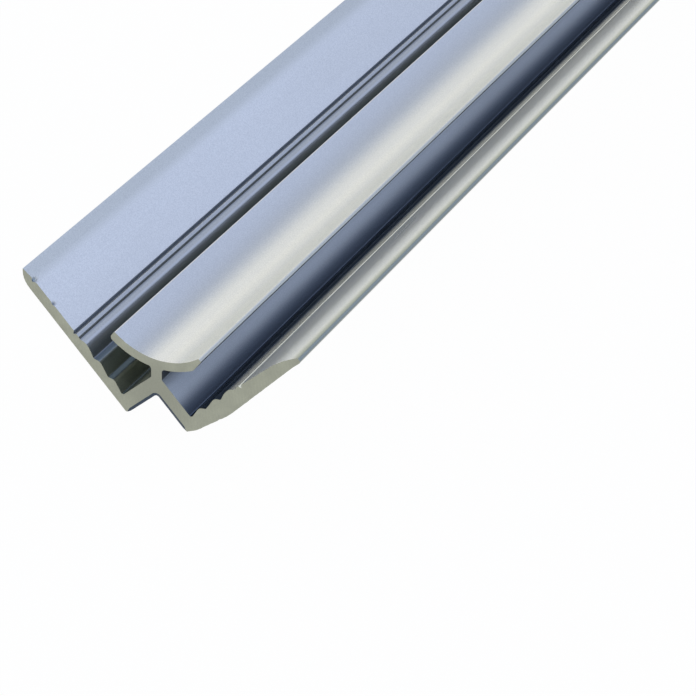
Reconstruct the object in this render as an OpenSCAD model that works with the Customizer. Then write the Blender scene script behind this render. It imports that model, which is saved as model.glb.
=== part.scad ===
// Inside-corner cove trim for wall panels: one straight aluminium extrusion.
// Two flanges at a right angle, a foot wall beside a square notch at the back corner, and a concave
// cove plate on a diagonal web. Between each flange and the cove lies a toothed slot for a panel's edge.
// The bar lies along Y on the back of its first flange, which is the plane z = 0.

/* [Bar] */
// Length of the bar
bar_length = 1000; // [100:10:3000]

/* [Flanges] */
// Width of each leg, from the outer corner of the section to the flange's tip
leg_w = 30; // [28:0.5:45]
// Thickness of a flange outside its teeth
flange_t = 1.6; // [1.5:0.05:2.2]
// Radius that rounds the back of the first flange towards its tip
tip_back_r = 3.3; // [2.5:0.1:4]
// Radius that rounds the back of the second flange towards its tip
second_tip_back_r = 1.3; // [1.3:0.1:4]
// Radius that rounds the front of a flange towards its tip
tip_front_r = 22; // [2:1:40]
// Height of the tip's edge over the back of the flange
tip_edge_h = 1.25; // [1:0.05:1.35]

/* [Corner] */
// Side of the square notch at the back corner
notch_w = 6.5; // [5:0.1:7]
// Thickness of the foot walls beside the notch
foot_t = 2.25; // [1.6:0.05:2.6]
// Radius in the bottom of the notch
notch_r = 0.6; // [0.2:0.1:1.5]
// Radius on the outer corner of each foot
foot_corner_r = 0.3; // [0.1:0.05:0.8]

/* [Panel slots] */
// Thickness of the panel that a slot takes
panel_t = 4; // [3.5:0.1:5]
// Play between the panel and the slot
panel_play = 0.25; // [0.1:0.05:0.6]

/* [Teeth] */
// Number of teeth on the front of each flange
tooth_count = 3; // [1:1:3]
// Distance from one tooth to the next
tooth_pitch = 3.1; // [2:0.1:3.3]
// Width of a tooth's steep side, which faces the mouth of the slot
tooth_steep_w = 0.85; // [0.3:0.05:1]
// Height of a tooth's crest over the plain front of the flange
tooth_rise = 0.3; // [0.1:0.05:0.6]
// Depth of the valleys below the plain front of the flange
valley_depth = 0.3; // [0.1:0.05:0.6]

/* [Drill line] */
// Distance of the drill line from the last tooth
drill_line_gap = 1.1; // [0.6:0.05:2.5]
// Width of the drill line, a V groove
drill_line_w = 0.6; // [0.3:0.05:0.9]
// Depth of the drill line
drill_line_depth = 0.42; // [0.1:0.02:0.5]

/* [Cove] */
// Radius of the concave front of the cove
cove_r = 10; // [8:0.5:13]
// Width of the cove's arc between its straight wing ends, at mid thickness
cove_w = 12.5; // [10:0.1:13.5]
// Thickness of the cove plate
cove_t = 1.3; // [1:0.05:1.8]
// Length of the straight end of each wing
wing_end_w = 0.6; // [0.5:0.05:1]
// Radius on the front corner of each wing end
wing_front_r = 0.2; // [0.05:0.05:0.4]
// Radius on the back corner of the first wing's end
wing_back_r = 0.5; // [0.1:0.05:0.6]
// Length of the bevel along the back of the second wing
bevel_w = 2.15; // [1:0.05:3]
// Thickness that the bevel leaves at the second wing's end
bevel_edge_t = 0.53; // [0.45:0.02:1]
// Thickness of the diagonal web that carries the cove
web_t = 1.6; // [1.2:0.1:2.4]
// Radius between the web and the back of the cove
web_r = 0.5; // [0.2:0.1:0.8]

/* [Hidden] */
// Reach of the cutting shapes past what they cut
over = 1;

// Inner face of a foot wall, where the teeth start
foot_face = notch_w + foot_t;
// Crest of the teeth over the back of the flange, and floor of their valleys
crest_h = flange_t + tooth_rise;
valley_h = flange_t - valley_depth;
teeth_end = foot_face + tooth_count * tooth_pitch;
// Where a rounding of that radius starts that reaches the tip's edge over that height
function tip_start(radius, height) = leg_w - sqrt(pow(radius, 2) - pow(radius - height, 2));
tip_front_u = tip_start(tip_front_r, flange_t - tip_edge_h);
drill_line_u = teeth_end + drill_line_gap;

// Middle and back of the cove plate's thickness, and the half angle up to its straight wing ends
cove_mid_r = cove_r + cove_t / 2;
cove_back_r = cove_r + cove_t;
wing_angle = asin(cove_w / 2 / cove_mid_r);
wing_slope = 45 - wing_angle;
// The back corner of the first wing's end clears the crests by the panel and its play
wing_back_h = crest_h + panel_t + panel_play + wing_back_r;
wing_drop = (cove_back_r - wing_back_r) * cos(wing_slope) + (wing_end_w - wing_back_r) * sin(wing_slope);
// Distances along the diagonal, from the outer corner of the section
cove_centre_d = (wing_back_h + wing_drop) * sqrt(2);
web_start_d = notch_w * sqrt(2);
web_end_d = cove_centre_d - cove_mid_r;
// Centre of the rounding between the web and the back of the cove
web_round_w = web_t / 2 + web_r;
web_round_d = cove_centre_d - sqrt(pow(cove_back_r + web_r, 2) - pow(web_round_w, 2));
$fn = 96;

// Flange strip with one face rounded towards the tip, in section coordinates: u runs along the flange from
// the outer corner of the section, and v runs from the flange's back to its front
module rounded_strip(round_u, round_v, radius) {
    translate([notch_w, 0])
        square([round_u - notch_w, flange_t]);
    intersection() {
        translate([round_u, 0])
            square([leg_w - round_u, flange_t]);
        translate([round_u, round_v])
            circle(r = radius);
    }
}

module flange_strip(back_r) {
    intersection() {
        rounded_strip(tip_start(back_r, tip_edge_h), back_r, back_r);
        rounded_strip(tip_front_u, flange_t - tip_front_r, tip_front_r);
    }
}

// Crests and valleys of the saw teeth, from the mouth of the slot inwards: each tooth has a steep side
// towards the mouth and a long slope towards the corner
function tooth_outline() = [
    for (i = [tooth_count - 1 : -1 : 0])
        let (valley_u = foot_face + i * tooth_pitch)
            each [
                [valley_u + tooth_pitch - tooth_steep_w, crest_h],
                [valley_u, valley_h]
            ]
];

module flange(back_r) {
    difference() {
        flange_strip(back_r);
        translate([foot_face, valley_h])
            square([teeth_end - foot_face, flange_t]);
        polygon([
            [drill_line_u - drill_line_w / 2, flange_t],
            [drill_line_u, flange_t - drill_line_depth],
            [drill_line_u + drill_line_w / 2, flange_t],
            [drill_line_u, flange_t + over]
        ]);
    }
    polygon(concat(
        [[foot_face, 0], [teeth_end, 0], [teeth_end, flange_t]],
        tooth_outline()
    ));
}

// Foot wall from the flange's back to the far side of the other foot wall
module foot_wall() {
    difference() {
        translate([notch_w, 0])
            square([foot_t, foot_face]);
        difference() {
            translate([notch_w - over, -over])
                square([over + foot_corner_r, over + foot_corner_r]);
            translate([notch_w + foot_corner_r, foot_corner_r])
                circle(r = foot_corner_r);
        }
    }
}

// Rounding in the bottom of the notch
module notch_rounding() {
    difference() {
        translate([notch_w - notch_r, notch_w - notch_r])
            square(notch_r);
        translate([notch_w - notch_r, notch_w - notch_r])
            circle(r = notch_r);
    }
}

// Straight end of a wing with rounded corners: x from the centre of the cove, y from the end of its arc
module wing_end() {
    translate([cove_r, 0])
        square([wing_front_r, wing_end_w - wing_front_r]);
    translate([cove_r + wing_front_r, 0])
        square([cove_t - wing_front_r - wing_back_r, wing_end_w]);
    translate([cove_back_r - wing_back_r, 0])
        square([wing_back_r, wing_end_w - wing_back_r]);
    translate([cove_r + wing_front_r, wing_end_w - wing_front_r])
        circle(r = wing_front_r);
    translate([cove_back_r - wing_back_r, wing_end_w - wing_back_r])
        circle(r = wing_back_r);
}

// What the bevel takes off the back of a wing, in the same coordinates
module wing_bevel() {
    bevel_dx = cove_t - bevel_edge_t;
    polygon([
        [cove_back_r, wing_end_w - bevel_w],
        [cove_back_r + over, wing_end_w - bevel_w],
        [cove_back_r + over, wing_end_w + over],
        [cove_r + bevel_edge_t - bevel_dx * over / bevel_w, wing_end_w + over]
    ]);
}

// Cove plate, in diagonal coordinates: x along the diagonal, y across it
module cove_plate() {
    reach = 2 * cove_back_r;
    translate([cove_centre_d, 0])
        difference() {
            union() {
                intersection() {
                    difference() {
                        circle(r = cove_back_r);
                        circle(r = cove_r);
                    }
                    polygon([
                        [0, 0],
                        [-reach * cos(wing_angle), reach * sin(wing_angle)],
                        [-reach * cos(wing_angle), -reach * sin(wing_angle)]
                    ]);
                }
                for (side = [0, 1])
                    mirror([0, side])
                        rotate(180 + wing_angle)
                            wing_end();
            }
            mirror([0, 1])
                rotate(180 + wing_angle)
                    wing_bevel();
        }
}

// Diagonal web with a rounding on each side where it meets the cove
module web() {
    translate([web_start_d, -web_t / 2])
        square([web_end_d - web_start_d, web_t]);
    for (side = [0, 1])
        mirror([0, side])
            difference() {
                polygon([
                    [web_round_d, 0],
                    [web_end_d, 0],
                    [cove_centre_d - cove_mid_r * cos(asin(web_round_w / cove_mid_r)), web_round_w],
                    [web_round_d, web_round_w]
                ]);
                translate([web_round_d, web_round_w])
                    circle(r = web_r);
            }
}

// Whole section, alike on both sides of its diagonal but for the second flange's tip and the bevel on the
// second wing
module section() {
    for (side = [0, 1])
        mirror([side, -side]) {
            flange(side == 0 ? tip_back_r : second_tip_back_r);
            foot_wall();
        }
    notch_rounding();
    rotate(45) {
        web();
        cove_plate();
    }
}

module profile() {
    color([0.74, 0.77, 0.83])
        translate([leg_w / 2, 0, 0])
            mirror([1, 0, 0])
                rotate([90, 0, 0])
                    linear_extrude(height = bar_length, center = true)
                        section();
}

profile();
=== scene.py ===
"""Looks of an inside-corner cove trim: one extruded aluminium bar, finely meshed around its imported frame."""

import math

import bpy
import numpy as np
from mathutils import Matrix, Vector, noise
from mathutils.geometry import tessellate_polygon

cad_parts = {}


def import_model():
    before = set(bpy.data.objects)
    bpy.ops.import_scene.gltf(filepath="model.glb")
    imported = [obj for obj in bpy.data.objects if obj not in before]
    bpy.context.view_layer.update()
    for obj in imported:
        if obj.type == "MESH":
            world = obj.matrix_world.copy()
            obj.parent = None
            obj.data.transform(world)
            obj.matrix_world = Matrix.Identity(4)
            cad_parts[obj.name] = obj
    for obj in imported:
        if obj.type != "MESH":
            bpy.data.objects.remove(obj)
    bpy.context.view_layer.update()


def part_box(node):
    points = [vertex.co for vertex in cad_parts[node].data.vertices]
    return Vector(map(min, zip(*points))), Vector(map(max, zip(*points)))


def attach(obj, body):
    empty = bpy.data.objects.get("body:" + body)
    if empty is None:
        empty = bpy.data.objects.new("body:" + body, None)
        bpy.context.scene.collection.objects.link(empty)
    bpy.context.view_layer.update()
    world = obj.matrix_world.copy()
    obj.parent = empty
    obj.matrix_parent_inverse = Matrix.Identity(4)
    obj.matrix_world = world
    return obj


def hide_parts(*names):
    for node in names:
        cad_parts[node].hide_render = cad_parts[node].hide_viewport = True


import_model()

MM = 0.001

# Section of the bar in millimetres, as in the part's source but for the second flange's tip. u runs along
# a flange from the outer corner of the section, and v runs from the flange's back to its front.
LEG_W = 30.0
FLANGE_T = 1.6
TIP_BACK_R = 3.3
TIP_FRONT_R = 22.0
TIP_EDGE_H = 1.25
NOTCH_W = 6.5
FOOT_T = 2.25
NOTCH_R = 0.6
FOOT_CORNER_R = 0.3
PANEL_T = 4.0
PANEL_PLAY = 0.25
TOOTH_COUNT = 3
TOOTH_PITCH = 3.1
TOOTH_STEEP_W = 0.85
TOOTH_RISE = 0.3
VALLEY_DEPTH = 0.3
DRILL_LINE_GAP = 1.1
DRILL_LINE_W = 0.6
DRILL_LINE_DEPTH = 0.42
COVE_R = 10.0
COVE_W = 12.5
COVE_T = 1.3
WING_END_W = 0.6
WING_FRONT_R = 0.2
WING_BACK_R = 0.5
BEVEL_W = 2.15
BEVEL_EDGE_T = 0.53
WEB_T = 1.6
WEB_R = 0.5

# Roundings that the die leaves on the small corners, and the fine line at the foot of the last tooth
LAST_CREST_ROUND = 1.0
LAST_SLOPE_ROUND = 3.6
CREST_ROUND = 0.95
VALLEY_ROUND = 0.35
DRILL_ROUND = 0.06
CORNER_ROUND = 0.15
BEVEL_ROUND = 0.1
FOOT_LINE_W = 0.34
FOOT_LINE_DEPTH = 0.11
# Soft shoulder behind the last tooth's crest: its distance from the crest and its drop below it
LAST_SHOULDER_W, LAST_SHOULDER_DROP = 1.0, 0.08
# Round nose of the second flange's tip, and the curve that leads to it
NOSE_R = 0.4
NOSE_FRONT_R = 14.0

# Fineness of the mesh
LINE_STEP = 0.45
ARC_STEP = math.radians(5)
SMALL_ARC_STEP = 3 * ARC_STEP
ARC_CHORD = 0.25
ARC_SPANS = 3
RING_STEP = 25.0

FOOT_FACE = NOTCH_W + FOOT_T
CREST_H = FLANGE_T + TOOTH_RISE
VALLEY_H = FLANGE_T - VALLEY_DEPTH
TEETH_END = FOOT_FACE + TOOTH_COUNT * TOOTH_PITCH
DRILL_U = TEETH_END + DRILL_LINE_GAP
COVE_MID_R = COVE_R + COVE_T / 2
COVE_BACK_R = COVE_R + COVE_T
WING_ANGLE = math.asin(COVE_W / 2 / COVE_MID_R)
WING_SLOPE = math.pi / 4 - WING_ANGLE
WING_BACK_H = CREST_H + PANEL_T + PANEL_PLAY + WING_BACK_R
WING_DROP = (
    (COVE_BACK_R - WING_BACK_R) * math.cos(WING_SLOPE)
    + (WING_END_W - WING_BACK_R) * math.sin(WING_SLOPE)
)
COVE_CENTRE_D = (WING_BACK_H + WING_DROP) * math.sqrt(2)
WEB_ROUND_W = WEB_T / 2 + WEB_R
WEB_ROUND_D = COVE_CENTRE_D - math.sqrt((COVE_BACK_R + WEB_R) ** 2 - WEB_ROUND_W ** 2)


def line(start, end):
    return {"kind": "line", "start": Vector(start), "end": Vector(end)}


def arc(centre, radius, first, last, small=False):
    """Arc from angle first to angle last, in radians."""
    return {
        "kind": "arc",
        "centre": Vector(centre),
        "radius": radius,
        "first": first,
        "last": last,
        "small": small,
    }


def rounded_path(corners):
    """Lines through the corners, each (u, v, radius), with an arc at each corner that has a radius."""
    pieces = []
    at = Vector(corners[0][:2])
    for before, (u, v, radius), after in zip(corners, corners[1:], corners[2:]):
        corner = Vector((u, v))
        if not radius:
            pieces.append(line(at, corner))
            at = corner
            continue
        come = (corner - Vector(before[:2])).normalized()
        go = (Vector(after[:2]) - corner).normalized()
        turn = come.angle_signed(go)
        back = radius * math.tan(abs(turn) / 2)
        side = 1 if come.x * go.y - come.y * go.x > 0 else -1
        start = corner - back * come
        centre = start + side * radius * Vector((-come.y, come.x))
        first = math.atan2(start.y - centre.y, start.x - centre.x)
        pieces += [line(at, start), arc(centre, radius, first, first + side * abs(turn), small=True)]
        at = corner + back * go
    return pieces + [line(at, corners[-1][:2])]


def diagonal(d, w):
    """Section coordinates of a point d along the diagonal and w across it."""
    return Vector(((d + w) / math.sqrt(2), (d - w) / math.sqrt(2)))


def wing_end(centre, angle, second):
    """Turn from that angle back to the outline's start, and the outline of a wing's end from back to front.

    The back of the second wing is bevelled.
    """
    out = Vector((math.cos(angle), math.sin(angle)))
    along = Vector((-out.y, out.x))

    def place(x, y):
        return centre + x * out + y * along

    front = place(COVE_R + WING_FRONT_R, WING_END_W - WING_FRONT_R)
    front_end = [
        arc(front, WING_FRONT_R, angle + math.pi / 2, angle + math.pi, small=True),
        line(place(COVE_R, WING_END_W - WING_FRONT_R), place(COVE_R, 0)),
    ]
    if second:
        foot = Vector((COVE_BACK_R, WING_END_W - BEVEL_W))
        run = Vector((COVE_R + BEVEL_EDGE_T, WING_END_W)) - foot
        half = foot.dot(run) / run.length_squared
        share = -half - math.sqrt(half ** 2 - (foot.length_squared - COVE_BACK_R ** 2) / run.length_squared)
        start = foot + share * run
        turn = math.atan2(start.y, start.x)
        corners = [(*place(*start), 0), (*place(COVE_R + BEVEL_EDGE_T, WING_END_W), BEVEL_ROUND)]
        corners.append((*place(COVE_R + WING_FRONT_R, WING_END_W), 0))
        return turn, rounded_path(corners) + front_end
    back = place(COVE_BACK_R - WING_BACK_R, WING_END_W - WING_BACK_R)
    return 0.0, [
        line(place(COVE_BACK_R, 0), place(COVE_BACK_R, WING_END_W - WING_BACK_R)),
        arc(back, WING_BACK_R, angle, angle + math.pi / 2),
        line(place(COVE_BACK_R - WING_BACK_R, WING_END_W), place(COVE_R + WING_FRONT_R, WING_END_W)),
    ] + front_end


def sharp_tip():
    """Starts of the first flange's two tip roundings, and the roundings, which meet in an edge."""
    back_u = LEG_W - math.sqrt(TIP_BACK_R ** 2 - (TIP_BACK_R - TIP_EDGE_H) ** 2)
    front_u = LEG_W - math.sqrt(TIP_FRONT_R ** 2 - (TIP_FRONT_R - FLANGE_T + TIP_EDGE_H) ** 2)
    front_v = FLANGE_T - TIP_FRONT_R
    back_end = math.atan2(TIP_EDGE_H - TIP_BACK_R, LEG_W - back_u)
    front_start = math.atan2(TIP_EDGE_H - front_v, LEG_W - front_u)
    return back_u, front_u, [
        arc((back_u, TIP_BACK_R), TIP_BACK_R, -math.pi / 2, back_end),
        arc((front_u, front_v), TIP_FRONT_R, front_start, math.pi / 2),
    ]


def round_nose():
    """The same for the second flange, where the front's curve runs on into a round nose."""
    nose_u = LEG_W - NOSE_R
    rise = NOSE_FRONT_R - FLANGE_T + NOSE_R
    front_u = nose_u - math.sqrt((NOSE_FRONT_R - NOSE_R) ** 2 - rise ** 2)
    meet = math.atan2(rise, nose_u - front_u)
    return nose_u, front_u, [
        arc((nose_u, NOSE_R), NOSE_R, -math.pi / 2, meet),
        arc((front_u, FLANGE_T - NOSE_FRONT_R), NOSE_FRONT_R, meet, math.pi / 2),
    ]


def half_section(second):
    """Outline of half the section, from the notch's bottom round the flange to the cove's middle."""
    tip_back_u, tip_front_u, tip = round_nose() if second else sharp_tip()
    notch_in = NOTCH_W - NOTCH_R
    foot_in = NOTCH_W + FOOT_CORNER_R
    pieces = [
        arc((notch_in, notch_in), NOTCH_R, math.pi / 4, 0),
        line((NOTCH_W, notch_in), (NOTCH_W, FOOT_CORNER_R)),
        arc((foot_in, FOOT_CORNER_R), FOOT_CORNER_R, math.pi, 1.5 * math.pi),
        line((foot_in, 0), (tip_back_u, 0)),
        *tip,
    ]
    front = [
        (tip_front_u, FLANGE_T, 0),
        (DRILL_U + DRILL_LINE_W / 2, FLANGE_T, DRILL_ROUND),
        (DRILL_U, FLANGE_T - DRILL_LINE_DEPTH, 0),
        (DRILL_U - DRILL_LINE_W / 2, FLANGE_T, DRILL_ROUND),
        (TEETH_END + FOOT_LINE_W, FLANGE_T, DRILL_ROUND),
        (TEETH_END, FLANGE_T - FOOT_LINE_DEPTH, 0),
    ]
    for i in reversed(range(TOOTH_COUNT)):
        valley_u = FOOT_FACE + i * TOOTH_PITCH
        crest_u = valley_u + TOOTH_PITCH - TOOTH_STEEP_W
        if i == TOOTH_COUNT - 1:
            shoulder = (crest_u - LAST_SHOULDER_W, CREST_H - LAST_SHOULDER_DROP, LAST_SLOPE_ROUND)
            front += [(crest_u, CREST_H, LAST_CREST_ROUND), shoulder]
        else:
            front.append((crest_u, CREST_H, CREST_ROUND))
        front.append((valley_u, VALLEY_H, VALLEY_ROUND))
    web_top = diagonal(WEB_ROUND_D, WEB_T / 2)
    front += [(FOOT_FACE, FOOT_FACE - WEB_T / math.sqrt(2), CORNER_ROUND), (web_top.x, web_top.y, 0)]
    pieces += rounded_path(front)

    cove_centre = diagonal(COVE_CENTRE_D, 0)
    towards = math.pi / 4
    web_round = diagonal(WEB_ROUND_D, WEB_ROUND_W)
    to_cove = cove_centre - web_round
    touch = math.asin(WEB_ROUND_W / (COVE_BACK_R + WEB_R))
    outwards = towards + math.pi + WING_ANGLE
    turn, end = wing_end(cove_centre, outwards, second)
    pieces += [
        arc(web_round, WEB_R, towards + math.pi / 2, math.atan2(to_cove.y, to_cove.x)),
        arc(cove_centre, COVE_BACK_R, towards + math.pi + touch, outwards + turn),
        *end,
        arc(cove_centre, COVE_R, outwards, towards + math.pi),
    ]
    return pieces


def sample(piece):
    """Points of a line or arc as (point, outward normal, wear), where wear peaks on small outer roundings."""
    if piece["kind"] == "line":
        run = piece["end"] - piece["start"]
        count = max(1, math.ceil(run.length / LINE_STEP))
        normal = Vector((run.y, -run.x)).normalized()
        return [(piece["start"] + run * i / count, normal, 0.0) for i in range(count + 1)]
    sweep = piece["last"] - piece["first"]
    step = min(SMALL_ARC_STEP if piece["small"] else ARC_STEP, ARC_CHORD / piece["radius"])
    count = max(ARC_SPANS, math.ceil(abs(sweep) / step))
    outward = 1 if sweep > 0 else -1
    found = []
    for i in range(count + 1):
        angle = piece["first"] + sweep * i / count
        ray = Vector((math.cos(angle), math.sin(angle)))
        wear = math.sin(math.pi * i / count) if piece["small"] and outward > 0 else 0.0
        found.append((piece["centre"] + piece["radius"] * ray, outward * ray, wear))
    return found


def flip(corner):
    return corner[0].yx, corner[1].yx, corner[2]


def outline():
    """Spans round the whole section: each is (start, end), and a corner is (point, normal, wear)."""
    halves = []
    for second in (False, True):
        spans = []
        for piece in half_section(second):
            points = sample(piece)
            spans += list(zip(points, points[1:]))
        halves.append(spans)
    return halves[0] + [(flip(b), flip(a)) for a, b in reversed(halves[1])]


# Cut end nearest the camera: the saw's feathered burr on the back of the second flange, and nicks in the front
# edge of the first. Each nick is (u, half width, depth), and a nick takes the full painted shade at the depth
# given last.
BURR_START, BURR_PEAK, BURR_END = 6.9, 14.5, 28.3
BURR_SHOULDER, BURR_SHOULDER_H = 8.8, 0.5
BURR_H = 1.0
BURR_LENGTH = 0.35
NICKS = [(27.9, 0.42, 0.45), (23.8, 0.3, 0.22)]
NICK_LENGTH = 0.7
NICK_SHADED = 0.15
# Broken edge that the saw leaves round the notch, darkened with painted shade, its small lip, and its run-out
# at a foot's corner
NOTCH_EDGE_W, NOTCH_EDGE_DEPTH = 0.42, 0.06
NOTCH_LIP = 0.12
NOTCH_EDGE_RISE = 0.9
# Ragged edge of both cuts and feathering of the burr: height, fineness of the noise, and the noise's place
SAW_RAGGED = 0.035
FACE_RAGGED = 0.5 * SAW_RAGGED
FACE_SCALE, ALONG_SCALE, FEATHER_SCALE = 2.2, 3.1, 1.7
NEAR_SEED, FAR_SEED, ALONG_SEED, FEATHER_SEED = 2.0, 7.0, 11.0, 4.0
FEATHER = 0.08
# What counts as a point of a flange's flat back or front
BACK_REACH, BACK_FACING, FRONT_FACING = 0.05, -0.99, 0.9
# Distances of the mesh's rings from a cut
END_RINGS = [0.0, 0.06, 0.14, 0.25, 0.4, 0.65, 1.1, 2.2, 5.0, 12.0]


def burr_height(v):
    """Height of the burr over the flange's back: two straight slopes and a steep start."""
    if not BURR_START < v < BURR_END:
        return 0.0
    if v < BURR_SHOULDER:
        return BURR_SHOULDER_H * math.sin(math.pi / 2 * (v - BURR_START) / (BURR_SHOULDER - BURR_START))
    if v < BURR_PEAK:
        share = (v - BURR_SHOULDER) / (BURR_PEAK - BURR_SHOULDER)
        return BURR_SHOULDER_H + (BURR_H - BURR_SHOULDER_H) * share
    return BURR_H * (BURR_END - v) / (BURR_END - BURR_PEAK)


def fade(distance, length):
    """1 at the cut, falling smoothly to 0 at that length from it."""
    share = max(0.0, 1 - distance / length)
    return share * share * (3 - 2 * share)


def smooth(low, high, value):
    """0 up to low, rising smoothly to 1 at high."""
    share = min(1.0, max(0.0, (value - low) / (high - low)))
    return share * share * (3 - 2 * share)


def nick_depth(point, normal, distance):
    """Depth of the nicks in the first flange's front, at that distance from the near end."""
    if normal.y < FRONT_FACING or point.y > CREST_H or point.x < TEETH_END:
        return 0.0
    return sum(depth * fade(abs(point.x - u), half) * fade(distance, NICK_LENGTH) for u, half, depth in NICKS)


def in_notch(point):
    return max(point) < NOTCH_W + FOOT_CORNER_R / 2


def cut_shape(point, normal, distance, far):
    """Shift along u, v and the bar of a surface point near a cut end."""
    near = fade(distance, BURR_LENGTH)
    ragged = noise.noise(Vector((point.x * FACE_SCALE, point.y * FACE_SCALE, FAR_SEED if far else NEAR_SEED)))
    shift = normal * (FACE_RAGGED * ragged * near)
    wander = noise.noise(Vector((point.x * ALONG_SCALE, point.y * ALONG_SCALE, ALONG_SEED)))
    along = SAW_RAGGED * wander * near
    if far:
        return shift, along
    if abs(point.x) < BACK_REACH and normal.x < BACK_FACING:
        feather = 1 + FEATHER * noise.noise(Vector((0.0, point.y * FEATHER_SCALE, FEATHER_SEED)))
        shift += normal * (burr_height(point.y) * feather * near)
    shift -= Vector((0, nick_depth(point, normal, distance)))
    if in_notch(point):
        edge = NOTCH_EDGE_W * fade(distance, NOTCH_EDGE_DEPTH)
        whole = smooth(0.0, NOTCH_EDGE_RISE, min(point))
        shift += normal * (whole * (NOTCH_LIP * near - edge))
    return shift, along


# Rays that look for open sky: their number, their start over the surface, and the least distance of a hit
OPEN_RAYS = 48
OPEN_SKIP = 0.02
OPEN_NEAREST = 1e-6
PARALLEL = 1e-9


def openness(spans):
    """Share of the open sky over each corner of the section, weighted towards its normal."""
    starts = np.array([a[0] for a, _ in spans])
    ends = np.array([b[0] for _, b in spans])
    normals = np.array([(a[1] + spans[i - 1][1][1]).normalized() for i, (a, _) in enumerate(spans)])
    run = ends - starts
    lifted = starts + normals * OPEN_SKIP
    angles = (np.arange(OPEN_RAYS) + 0.5) / OPEN_RAYS * math.pi - math.pi / 2
    seen = np.zeros(len(spans))
    for angle in angles:
        turn = np.array([[math.cos(angle), -math.sin(angle)], [math.sin(angle), math.cos(angle)]])
        rays = normals @ turn.T
        gap = starts[None] - lifted[:, None]
        across = rays[:, None, 0] * run[None, :, 1] - rays[:, None, 1] * run[None, :, 0]
        across[np.abs(across) < PARALLEL] = PARALLEL
        far = (gap[..., 0] * run[None, :, 1] - gap[..., 1] * run[None, :, 0]) / across
        place = (gap[..., 0] * rays[:, None, 1] - gap[..., 1] * rays[:, None, 0]) / across
        blocked = ((far > OPEN_NEAREST) & (place >= 0) & (place <= 1)).any(axis=1)
        seen += math.cos(angle) * ~blocked
    return seen / np.cos(angles).sum()


# Light and shade painted into the film's colour over the section; values are shares of the painted shade, warm
# light and highlight. A reach is in u, or in v on the foot wall. A turn is in degrees on the cove, and
# elsewhere a part of the normal.
# Painted shade and painted warm light at the second flange's tip, and where they start
TIP_SHADE, TIP_WARM_LIGHT, TIP_PAINTED_START = 0.78, 0.8, 28.7
TIP_BACK_H = 1.2
FRONT_TURN = (0.2, 0.8)
# Painted shade and painted warm light on the first flange's tip
FIRST_TIP_SHADE, FIRST_TIP_WARM_LIGHT, FIRST_TIP_REACH = 0.27, 0.18, (26.8, 28.8)
# Painted shade in the first flange's lines: at the rim, what it gains to the bottom, and the most of it
DRILL_SHADE, DRILL_SHADE_GAIN, DRILL_SHADE_MOST = 0.15, 0.6, 0.7
LINE_SHADE, LINE_SHADE_GAIN = 0.32, 0.38
# Painted warm light on the second flange's drill line
DRILL_GLINT = 0.2
# Painted shade on the first slot's steep tooth faces, the painted warm light kept off them, and the turn that
# marks them
STEEP_SHADE, STEEP_LESS_WARM_LIGHT, STEEP_TURN = 1.0, 0.15, (0.1, 0.45)
# Painted shade on each tooth's slope
SLOPE_SHADE = (0.25, 0.55, 0.45)
# Painted shade deep in the second slot's teeth, up to this u
SECOND_TOOTH_SHADE, SECOND_TOOTH_END = 1.0, 16.6
# Painted shade at the first slot's mouth
MOUTH_SHADE, MOUTH_REACH = 0.32, (15.7, 17.0)
# Painted warm light deep in the first slot, fading out over this reach
WARM_LIGHT_REACH = (13.5, 15.1)
# Painted shade on the foot wall, darker deeper in the slot
FOOT_SHADE, FOOT_REACH = 0.9, (2.3, 4.7)
# Painted shade on the cove's first-flange side, painted highlight on its second-flange side
COVE_SHADE, COVE_SHADE_TURN = 0.145, (5, 18)
COVE_HIGHLIGHT, COVE_HIGHLIGHT_TURNS = 0.5, ((2, 12), (18, 26))
# Painted shade and painted highlight on the second wing's end
WING_SHADE_AND_HIGHLIGHT, WING_START = (0.28, 0.0, 0.8), 15.0
# Painted warm light on the first wing's back, fading out over this reach
COVE_BACK_REACH = (14.5, 16.0)
# No painted shade or light
UNPAINTED = (0.0, 0.0, 0.0)
# Slack in telling faces apart
SLACK, WIDE_SLACK = 0.01, 0.02


def flange_painted_light(u, v, normal, second):
    """Painted shade, painted warm light and painted highlight on the front of a flange, or None elsewhere."""
    depth = FLANGE_T - v
    near_front = -SLACK < depth < FLANGE_T / 2
    # Painted shade in the first flange's drill line; painted highlight and warm light in the second's
    if abs(u - DRILL_U) < DRILL_LINE_W / 2 and near_front:
        if second:
            return (0.0, DRILL_GLINT, 1.0)
        return (min(DRILL_SHADE_MOST, DRILL_SHADE + DRILL_SHADE_GAIN * depth / DRILL_LINE_DEPTH), 0.0, 0.0)
    # Painted shade in the first flange's foot line; painted highlight in the second's
    if TEETH_END - SLACK < u < TEETH_END + FOOT_LINE_W and near_front:
        return (0.0, 0.0, 1.0) if second else (LINE_SHADE + LINE_SHADE_GAIN * depth / FOOT_LINE_DEPTH, 0.0, 0.0)
    if FOOT_FACE + WIDE_SLACK < u < DRILL_U and VALLEY_H - SLACK < v < CREST_H + SLACK:
        return tooth_painted_light(u, normal, second)
    # Painted shade, painted warm light and painted highlight towards the flanges' tips
    if u > DRILL_U and normal.y > 0.0:
        if second:
            wear_and_painted_tip_share = smooth(TIP_PAINTED_START, LEG_W, u)
            return (TIP_SHADE * wear_and_painted_tip_share, TIP_WARM_LIGHT * wear_and_painted_tip_share, smooth(*FRONT_TURN, normal.y))
        wear_and_painted_tip_share = smooth(*FIRST_TIP_REACH, u)
        return (FIRST_TIP_SHADE * wear_and_painted_tip_share, FIRST_TIP_WARM_LIGHT * wear_and_painted_tip_share, 0.0)
    return None


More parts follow.
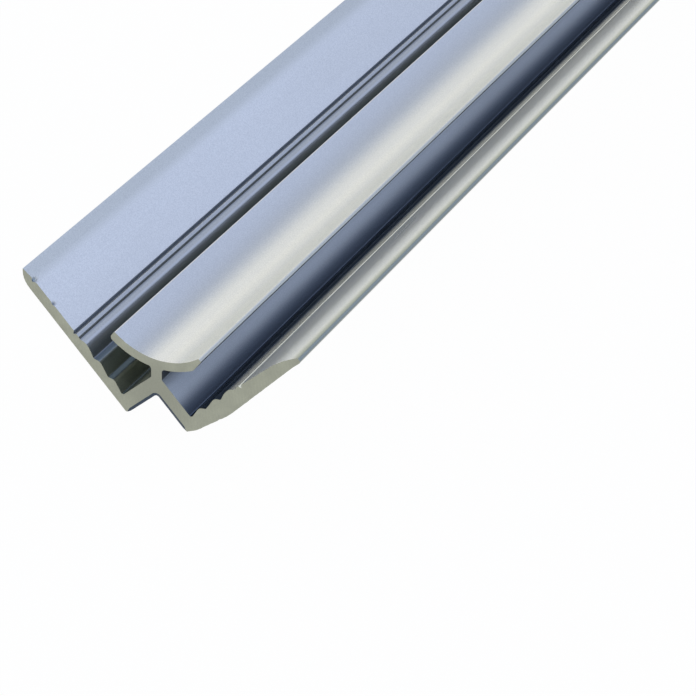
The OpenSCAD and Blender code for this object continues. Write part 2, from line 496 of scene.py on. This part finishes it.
def tooth_painted_light(u, normal, second):
    """The same on the teeth, from the foot of the slot to the drill line."""
    if second:
        # Painted shade deep in the second slot's teeth, painted highlight towards its mouth
        inside = 1 - smooth(SECOND_TOOTH_END, TEETH_END, u)
        return (SECOND_TOOTH_SHADE * inside, 0.0, 1 - inside)
    # Painted shade on the first slot's teeth and mouth, painted warm light deep inside
    inside = 1 - smooth(*MOUTH_REACH, u)
    steep = smooth(*STEEP_TURN, normal.x)
    tooth = min(TOOTH_COUNT - 1, int((u - FOOT_FACE) / TOOTH_PITCH))
    shade = max(STEEP_SHADE * steep, SLOPE_SHADE[tooth] * (1 - steep)) * inside + MOUTH_SHADE * (1 - inside)
    return (shade, (1 - smooth(*WARM_LIGHT_REACH, u)) * (1 - STEEP_LESS_WARM_LIGHT * steep), 0.0)


def painted_light(point, normal):
    """Painted shade, painted warm light and painted highlight of a point of the section, each from 0 to 1."""
    second = point.y > point.x
    u, v = point.yx if second else point
    found = flange_painted_light(u, v, normal.yx if second else normal, second)
    if found:
        return found
    # Painted shade and painted highlight on the cove
    if (point - diagonal(COVE_CENTRE_D, 0)).length < COVE_R + WIDE_SLACK:
        turn = math.degrees(math.asin((point.x - point.y) / math.sqrt(2) / COVE_R))
        painted_highlight = COVE_HIGHLIGHT * sum(smooth(*reach, -turn) for reach in COVE_HIGHLIGHT_TURNS)
        return (COVE_SHADE * smooth(*COVE_SHADE_TURN, turn), 0.0, painted_highlight)
    # Painted shade on the foot wall, strongest deep in the slot, and painted warm light on the first one
    if abs(u - FOOT_FACE) < WIDE_SLACK and v > VALLEY_H - SLACK:
        return (FOOT_SHADE * (1 - smooth(*FOOT_REACH, v)), float(not second), 0.0)
    # Painted shade and painted warm light on the back of the second flange's nose
    if v < TIP_BACK_H and u > NOTCH_W:
        wear_and_painted_tip_share = second * smooth(LEG_W - 2 * NOSE_R, LEG_W - NOSE_R, u)
        return (TIP_SHADE * wear_and_painted_tip_share, TIP_WARM_LIGHT * wear_and_painted_tip_share, 0.0)
    # Painted shade and painted highlight on the second wing's end
    if second:
        return WING_SHADE_AND_HIGHLIGHT if u > WING_START else UNPAINTED
    return (0.0, (1 - smooth(*COVE_BACK_REACH, u)) * float(u > NOTCH_W + WIDE_SLACK), 0.0)


def ring_places(length):
    """Distances of the mesh's rings from the near end."""
    count = round((length - 2 * END_RINGS[-1]) / RING_STEP)
    first, last = END_RINGS[-1], length - END_RINGS[-1]
    middle = [first + (last - first) * i / count for i in range(1, count)]
    return END_RINGS + middle + [length - d for d in reversed(END_RINGS)]


def world(point, along):
    return Vector((LEG_W / 2 - point.x, along, point.y)) * MM


def paint(mesh, spans, places):
    """Point attributes that the film's material reads, ring by ring."""
    corners = [start for start, _ in spans]
    layers = {"edge_wear": [wear for _, _, wear in corners] * len(places)}
    # Painted shade, painted warm light and painted highlight of each point of the section, the same on every
    # ring
    painted_values = zip(*(painted_light(point, normal) for point, normal, _ in corners))
    for name, values in zip(PAINTED_TINTS, painted_values):
        layers[name] = list(values) * len(places)
    # Painted shade in the nicks, darker with their depth
    nicked = [nick_depth(point, normal, place) for place in places for point, normal, _ in corners]
    notched = [in_notch(point) for point, _, _ in corners]
    # The broken edge round the notch next to the cut takes the full painted shade and counts as seeing no open
    # sky
    edged = [float(place < 2 * NOTCH_EDGE_DEPTH and inside) for place in places for inside in notched]
    shaded = zip(layers["painted_shade"], nicked, edged)
    layers["painted_shade"] = [min(1.0, shade + depth / NICK_SHADED + edge) for shade, depth, edge in shaded]
    sky = np.tile(openness(spans), len(places))
    layers["openness"] = [share * (1 - edge) for share, edge in zip(sky, edged)]
    for name, values in layers.items():
        layer = mesh.attributes.new(name, "FLOAT", "POINT")
        layer.data.foreach_set("value", values)


def build_bar():
    """Mesh of the whole bar: rings along it, and a flat face at each cut."""
    low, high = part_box("profile")
    length = (high.y - low.y) / MM
    spans = outline()
    places = ring_places(length)
    count = len(spans)
    verts, rings, tilts = [], [], []
    for place in places:
        distance = min(place, length - place)
        far = place > length / 2
        sign = -1 if far else 1
        ring, tilt = [], []
        for (point, normal, _), _ in spans:
            shift, along = cut_shape(point, normal, distance, far)
            ring.append(len(verts))
            verts.append(world(point + shift, place - length / 2 + sign * along))
            tilt.append(shift.dot(normal))
        rings.append(ring)
        tilts.append(tilt)

    faces, normals, kinds = [], [], []
    for k in range(len(places) - 1):
        for i in range(count):
            j = (i + 1) % count
            faces.append((rings[k][i], rings[k][j], rings[k + 1][j], rings[k + 1][i]))
            kinds.append(0)
            (_, first, _), (_, last, _) = spans[i]
            for flat, column, row in ((first, i, k), (last, j, k), (last, j, k + 1), (first, i, k + 1)):
                before, after = max(row - 1, 0), min(row + 1, len(places) - 1)
                slope = (tilts[after][column] - tilts[before][column]) / (places[after] - places[before])
                normals.append(Vector((-flat.x, -slope, flat.y)).normalized())
    for ring, facing in ((rings[0], -1), (rings[-1], 1)):
        section = [Vector((verts[n].x, verts[n].z, 0)) for n in ring]
        for a, b, c in tessellate_polygon([section]):
            cross = (section[b] - section[a]).cross(section[c] - section[a]).z
            order = (a, b, c) if (cross > 0) == (facing < 0) else (a, c, b)
            faces.append(tuple(ring[n] for n in order))
            normals += [Vector((0, facing, 0))] * 3
            kinds.append(1)

    mesh = bpy.data.meshes.new("bar")
    mesh.from_pydata(verts, [], faces)
    mesh.polygons.foreach_set("material_index", kinds)
    mesh.polygons.foreach_set("use_smooth", [True] * len(faces))
    paint(mesh, spans, places)
    mesh.update()
    mesh.normals_split_custom_set(normals)
    bar = bpy.data.objects.new("bar", mesh)
    bpy.context.scene.collection.objects.link(bar)
    return bar


class Shader:
    """Short calls for building a node tree."""

    def __init__(self, tree):
        self.tree = tree

    def add(self, kind, **settings):
        node = self.tree.nodes.new(kind)
        for name, value in settings.items():
            setattr(node, name, value)
        return node

    def join(self, output, node, name):
        self.tree.links.new(output, node.inputs[name])

    def put(self, node, **values):
        for name, value in values.items():
            node.inputs[name.replace("_", " ")].default_value = value
        return node

    def noise(self, vector, scale, detail=2.0, roughness=0.5):
        node = self.add("ShaderNodeTexNoise")
        self.put(node, Scale=scale, Detail=detail, Roughness=roughness)
        self.join(vector, node, "Vector")
        return node.outputs["Fac"]

    def spread(self, value, low, high, from_low=0.3, from_high=0.7):
        node = self.add("ShaderNodeMapRange")
        self.put(node, From_Min=from_low, From_Max=from_high, To_Min=low, To_Max=high)
        self.join(value, node, "Value")
        return node.outputs["Result"]

    def ramp(self, value, stops):
        node = self.add("ShaderNodeValToRGB")
        points = node.color_ramp.elements
        while len(points) < len(stops):
            points.new(0.5)
        for point, (place, colour) in zip(points, stops):
            point.position = place
            point.color = (*colour, 1)
        self.join(value, node, "Fac")
        return node.outputs["Color"]

    def mix(self, share, first, second, blend="MIX"):
        node = self.add("ShaderNodeMix", data_type="RGBA", blend_type=blend)
        for name, value in (("Factor", share), ("A", first), ("B", second)):
            socket = next(s for s in node.inputs if s.name == name and s.enabled)
            if isinstance(value, bpy.types.NodeSocket):
                self.tree.links.new(value, socket)
            else:
                socket.default_value = value if name == "Factor" else (*value, 1)
        return next(s for s in node.outputs if s.enabled)

    def bump(self, height, distance, strength, below=None):
        node = self.add("ShaderNodeBump")
        self.put(node, Strength=strength, Distance=distance)
        self.join(height, node, "Height")
        if below is not None:
            self.join(below, node, "Normal")
        return node.outputs["Normal"]

    def distance(self, vector, place):
        node = self.add("ShaderNodeVectorMath", operation="DISTANCE")
        self.tree.links.new(vector, node.inputs[0])
        node.inputs[1].default_value = place
        return node.outputs["Value"]

    def attribute(self, name):
        return self.add("ShaderNodeAttribute", attribute_name=name).outputs["Fac"]

    def stretched(self, vector, scale):
        node = self.add("ShaderNodeMapping")
        node.inputs["Scale"].default_value = scale
        self.join(vector, node, "Vector")
        return node.outputs["Vector"]


def new_material(name):
    material = bpy.data.materials.new(name)
    material.use_nodes = True
    shader = Shader(material.node_tree)
    return material, shader, material.node_tree.nodes["Principled BSDF"]


SILVER = (0.77, 0.78, 0.77)
SILVER_DARK = (0.675, 0.685, 0.685)
SILVER_WORN = (0.80, 0.81, 0.81)
# Painted shade in recesses, by the share of open sky
RECESS_SHADE = [(0.0, (0.44, 0.47, 0.50)), (0.25, (0.60, 0.63, 0.67)), (0.5, (0.82, 0.84, 0.86)), (0.75, (1, 1, 1))]
SPECKLE = (0.86, 0.865, 0.87)
# What the painted shade, painted warm light and painted highlight at full strength do to the colour
PAINTED_TINTS = {"painted_shade": (0.15, 0.195, 0.265), "painted_warm_light": (1.36, 1.33, 1.02), "painted_highlight": (1.22, 1.19, 1.07)}
# Noises of the etched grain, the speckle, the die lines along the bar and the clouding: each has a scale,
# a detail and a roughness, and the last two a stretch
GRAIN_NOISE = (3600.0, 3.0, 0.7)
SPECKLE_NOISE = (6500.0, 1.0, 0.5)
DIE_STRETCH, DIE_NOISE = (2600.0, 1.6, 2600.0), (1.0, 3.0, 0.6)
CLOUD_STRETCH, CLOUD_NOISE = (90.0, 14.0, 90.0), (1.0, 3.0, 0.55)
# How far each goes towards the darker colour, and how far worn corners go towards the brighter one
CLOUD_SHARE, DIE_SHARE, GRAIN_SHARE, WORN_SHARE = 0.45, 0.28, 0.45, 0.6
SPECKLE_LIMITS = (0.35, 0.65)
FILM_METALLIC, FILM_ROUGHNESS = 0.82, (0.27, 0.33)
# Distance and strength of a bump
DIE_BUMP, GRAIN_BUMP = (0.00002, 0.25), (0.00003, 0.35)


def anodised():
    """Satin anodised aluminium: fine etched grain, faint die lines along the bar, brighter worn corners."""
    material, shader, bsdf = new_material("anodised_aluminium")
    place = shader.add("ShaderNodeTexCoord").outputs["Object"]
    grain = shader.noise(place, *GRAIN_NOISE)
    speckle = shader.noise(place, *SPECKLE_NOISE)
    die = shader.noise(shader.stretched(place, DIE_STRETCH), *DIE_NOISE)
    cloud = shader.noise(shader.stretched(place, CLOUD_STRETCH), *CLOUD_NOISE)

    colour = shader.mix(shader.spread(cloud, 0.0, CLOUD_SHARE), SILVER, SILVER_DARK)
    colour = shader.mix(shader.spread(die, 0.0, DIE_SHARE), colour, SILVER_DARK)
    colour = shader.mix(shader.spread(grain, 0.0, GRAIN_SHARE), colour, SILVER_DARK)
    speckled = shader.mix(1.0, colour, SPECKLE, "MULTIPLY")
    colour = shader.mix(shader.spread(speckle, 0.0, 1.0, *SPECKLE_LIMITS), colour, speckled)
    wear_and_painted_tip_share = shader.spread(shader.attribute("edge_wear"), 0.0, WORN_SHARE, 0.0, 1.0)
    colour = shader.mix(wear_and_painted_tip_share, colour, SILVER_WORN)
    # Painted shade: the colour darkens where the section sees little open sky
    colour = shader.mix(1.0, colour, shader.ramp(shader.attribute("openness"), RECESS_SHADE), "MULTIPLY")
    # Painted shade, painted warm light and painted highlight, each multiplied in by its attribute
    for name, tint in PAINTED_TINTS.items():
        colour = shader.mix(shader.attribute(name), colour, tint, "MULTIPLY")
    shader.join(colour, bsdf, "Base Color")
    shader.put(bsdf, Metallic=FILM_METALLIC)
    shader.join(shader.spread(cloud, *FILM_ROUGHNESS), bsdf, "Roughness")
    lines = shader.bump(die, *DIE_BUMP)
    shader.join(shader.bump(grain, *GRAIN_BUMP, lines), bsdf, "Normal")
    return material


SAWN = (0.415, 0.43, 0.35)
SAWN_DARK = (0.32, 0.33, 0.275)
SAW_CENTRE = (0.09, 0.0, 0.12)
# Place of the notch on the cut, and the reach and share of the painted shade round it
NOTCH_PLACE = ((LEG_W / 2 - NOTCH_W) * MM, 0.0, NOTCH_W * MM)
NOTCH_REACH, NOTCH_SHADE_SHARE = (0.002, 0.006), 0.8
# Stretch that leaves out a point's place along the bar
ON_CUT = (1.0, 0.0, 1.0)
# Fineness of the blade's arcs, and how they waver
SAW_LINES = 640.0
SAW_WAVER = {"Distortion": 2.5, "Detail": 3.0, "Detail_Scale": 0.4, "Detail_Roughness": 0.6}
# Stains and fine roughness of the cut, as scale, detail and roughness
STAIN_NOISE, FINE_NOISE = (420.0, 3.0, 0.6), (4200.0, 2.0, 0.6)
STAIN_SHARE, SAW_SHARE, SAW_LIMITS = 0.6, 0.12, (0.2, 0.8)
SAWN_ROUGHNESS = (0.48, 0.6)
SAW_BUMP, FINE_BUMP = (0.00003, 0.3), (0.00002, 0.3)


def sawn():
    """Sawn aluminium: shallow arcs of the blade, duller and warmer than the anodised faces."""
    material, shader, bsdf = new_material("sawn_aluminium")
    place = shader.add("ShaderNodeTexCoord").outputs["Object"]
    shift = shader.add("ShaderNodeMapping")
    shift.inputs["Location"].default_value = SAW_CENTRE
    shader.join(place, shift, "Vector")
    arcs = shader.add("ShaderNodeTexWave", wave_type="RINGS", rings_direction="Y")
    shader.put(arcs, Scale=SAW_LINES, **SAW_WAVER)
    shader.join(shift.outputs["Vector"], arcs, "Vector")
    saw = arcs.outputs["Fac"]
    stain = shader.noise(place, *STAIN_NOISE)
    fine = shader.noise(place, *FINE_NOISE)
    colour = shader.mix(shader.spread(stain, 0.0, STAIN_SHARE), SAWN, SAWN_DARK)
    colour = shader.mix(shader.spread(saw, 0.0, SAW_SHARE, *SAW_LIMITS), colour, SAWN_DARK)
    # Painted shade on the cut, darker near the notch
    apart = shader.distance(shader.stretched(place, ON_CUT), NOTCH_PLACE)
    colour = shader.mix(shader.spread(apart, NOTCH_SHADE_SHARE, 0.0, *NOTCH_REACH), colour, SAWN_DARK)
    shader.join(colour, bsdf, "Base Color")
    shader.put(bsdf, Metallic=1.0)
    shader.join(shader.spread(fine, *SAWN_ROUGHNESS), bsdf, "Roughness")
    cuts = shader.bump(saw, *SAW_BUMP)
    shader.join(shader.bump(fine, *FINE_BUMP, cuts), bsdf, "Normal")
    return material


bar = build_bar()
bar.data.materials.append(anodised())
bar.data.materials.append(sawn())
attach(bar, "root")
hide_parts("profile")


FLOOR_SIZE = 12.0
FLOOR_DROP = 0.0001
FLOOR_SHADE = (0.82, 0.82, 0.81)
FLOOR_WHITE = 0.975


def build_floor():
    """Pale floor that shows white, and keeps the bar's soft shadow."""
    half = FLOOR_SIZE / 2
    mesh = bpy.data.meshes.new("floor")
    corners = [(-half, -half), (half, -half), (half, half), (-half, half)]
    mesh.from_pydata([(x, y, -FLOOR_DROP) for x, y in corners], [], [(0, 1, 2, 3)])
    floor = bpy.data.objects.new("floor", mesh)
    bpy.context.scene.collection.objects.link(floor)
    material = bpy.data.materials.new("floor")
    material.use_nodes = True
    tree = material.node_tree
    tree.nodes.clear()
    shader = Shader(tree)
    paths = shader.add("ShaderNodeLightPath").outputs
    seen = shader.add("ShaderNodeMath", operation="MAXIMUM")
    tree.links.new(paths["Is Camera Ray"], seen.inputs[0])
    tree.links.new(paths["Is Glossy Ray"], seen.inputs[1])
    through = shader.add("ShaderNodeMath", operation="MAXIMUM")
    tree.links.new(seen.outputs["Value"], through.inputs[0])
    tree.links.new(paths["Is Transmission Ray"], through.inputs[1])
    share = shader.add("ShaderNodeMath", operation="MULTIPLY")
    tree.links.new(through.outputs["Value"], share.inputs[0])
    share.inputs[1].default_value = FLOOR_WHITE
    matt = shader.put(shader.add("ShaderNodeBsdfDiffuse"), Color=(*FLOOR_SHADE, 1))
    white = shader.put(shader.add("ShaderNodeEmission"), Color=(1, 1, 1, 1), Strength=1.0)
    both = shader.add("ShaderNodeMixShader")
    tree.links.new(share.outputs["Value"], both.inputs[0])
    tree.links.new(matt.outputs["BSDF"], both.inputs[1])
    tree.links.new(white.outputs["Emission"], both.inputs[2])
    out = shader.add("ShaderNodeOutputMaterial")
    shader.join(both.outputs["Shader"], out, "Surface")
    mesh.materials.append(material)


build_floor()


# Colours of the soft light round the bar, by the sine of the height over the horizon
SKY = [
    (0.0, (1.16, 1.13, 1.03)),
    (0.10, (1.06, 1.04, 0.96)),
    (0.20, (0.66, 0.70, 0.76)),
    (0.48, (0.46, 0.53, 0.71)),
    (0.65, (0.78, 0.91, 1.26)),
    (1.0, (0.60, 0.66, 0.79)),
]
# Warmer and brighter light from the left, and its reach in the direction's x
WARM_SKY = (1.56, 1.53, 1.38)
WARM_REACH = (-0.9, -0.62)
# Strength of the light from the front and back: (direction's y, strength)
FRONT_LIGHT = ((-1.0, 0.75), (0.4, 1.0))


def build_world():
    """Plain soft light all round."""
    world_light = bpy.data.worlds.new("studio")
    world_light.use_nodes = True
    bpy.context.scene.world = world_light
    shader = Shader(world_light.node_tree)
    background = world_light.node_tree.nodes["Background"]
    direction = shader.add("ShaderNodeTexCoord").outputs["Generated"]
    parts = shader.add("ShaderNodeSeparateXYZ")
    shader.join(direction, parts, "Vector")
    warm = shader.spread(parts.outputs["X"], 1.0, 0.0, *WARM_REACH)
    shader.join(shader.mix(warm, shader.ramp(parts.outputs["Z"], SKY), WARM_SKY), background, "Color")
    (low, dim), (high, bright) = FRONT_LIGHT
    shader.join(shader.spread(parts.outputs["Y"], dim, bright, low, high), background, "Strength")


build_world()


LAMP_PLACE, LAMP_TARGET = (-0.6, -1.4, 2.6), (0, -0.3, 0)
LAMP_SIZE, LAMP_POWER, LAMP_COLOUR = 1.6, 14.0, (1.0, 0.99, 0.97)


def build_lamp():
    """Large soft lamp overhead."""
    data = bpy.data.lights.new("overhead", "AREA")
    data.shape = "DISK"
    data.size = LAMP_SIZE
    data.energy = LAMP_POWER
    data.color = LAMP_COLOUR
    lamp = bpy.data.objects.new("overhead", data)
    lamp.location = LAMP_PLACE
    lamp.rotation_euler = (Vector(LAMP_TARGET) - Vector(LAMP_PLACE)).to_track_quat("-Z", "Y").to_euler()
    bpy.context.scene.collection.objects.link(lamp)


build_lamp()


# Camera at the photograph's place, turned so that the bar runs up to the right
CAMERA_PLACE = (-0.0293, -0.7714, 0.2741)
CAMERA_RIGHT = (0.6041, 0.4630, 0.6487)
CAMERA_UP = (-0.7869, 0.4755, 0.3934)
CAMERA_LENS = 150.76
CAMERA_SENSOR = 36.0
CAMERA_CLIP = (0.01, 50.0)


def build_camera():
    data = bpy.data.cameras.new("camera")
    data.lens = CAMERA_LENS
    data.sensor_width = CAMERA_SENSOR
    data.clip_start, data.clip_end = CAMERA_CLIP
    camera = bpy.data.objects.new("camera", data)
    right = Vector(CAMERA_RIGHT).normalized()
    back = right.cross(Vector(CAMERA_UP)).normalized()
    up = back.cross(right)
    camera.matrix_world = Matrix.Translation(CAMERA_PLACE) @ Matrix((right, up, back)).transposed().to_4x4()
    bpy.context.scene.collection.objects.link(camera)
    bpy.context.scene.camera = camera


build_camera()
bpy.context.scene.view_settings.view_transform = "Standard"
